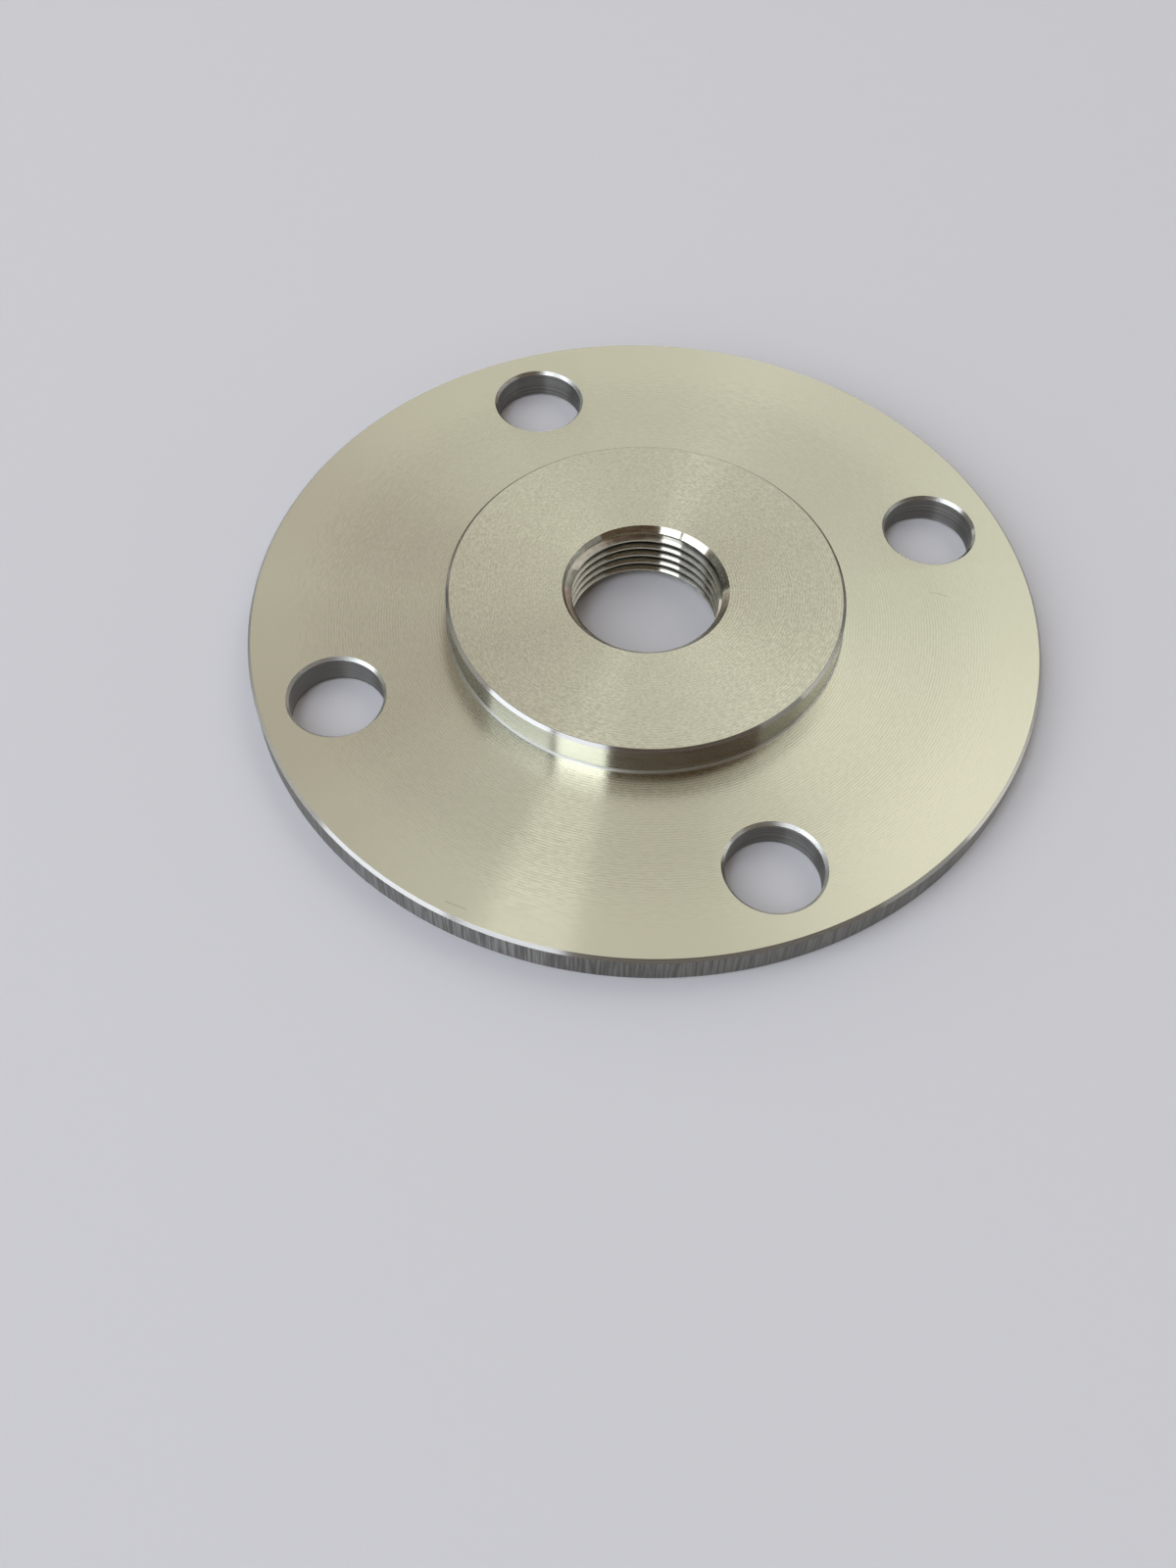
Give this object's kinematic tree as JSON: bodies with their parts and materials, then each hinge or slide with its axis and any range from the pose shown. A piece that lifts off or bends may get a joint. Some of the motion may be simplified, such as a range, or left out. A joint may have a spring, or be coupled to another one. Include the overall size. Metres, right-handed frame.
{
  "type": "plate flange",
  "caption": "Thin round steel plate flange with a low raised boss, a threaded centre bore and plain bolt holes on a circle, for fixing a screwed pipe or fitting to a plate or tank.",
  "frame": {"origin": "centre of the flat back face, on the axis of the bore", "axes": "+Z along the bore axis from the back face towards the boss; +X and +Y lie in the back face, midway between neighbouring bolt holes"},
  "size_m": [0.13, 0.13, 0.011],
  "materials": {
    "turned_steel": "fine turned, bare metal"
  },
  "bodies": {
    "root": {"flange": "turned_steel"}
  },
  "joints": []
}
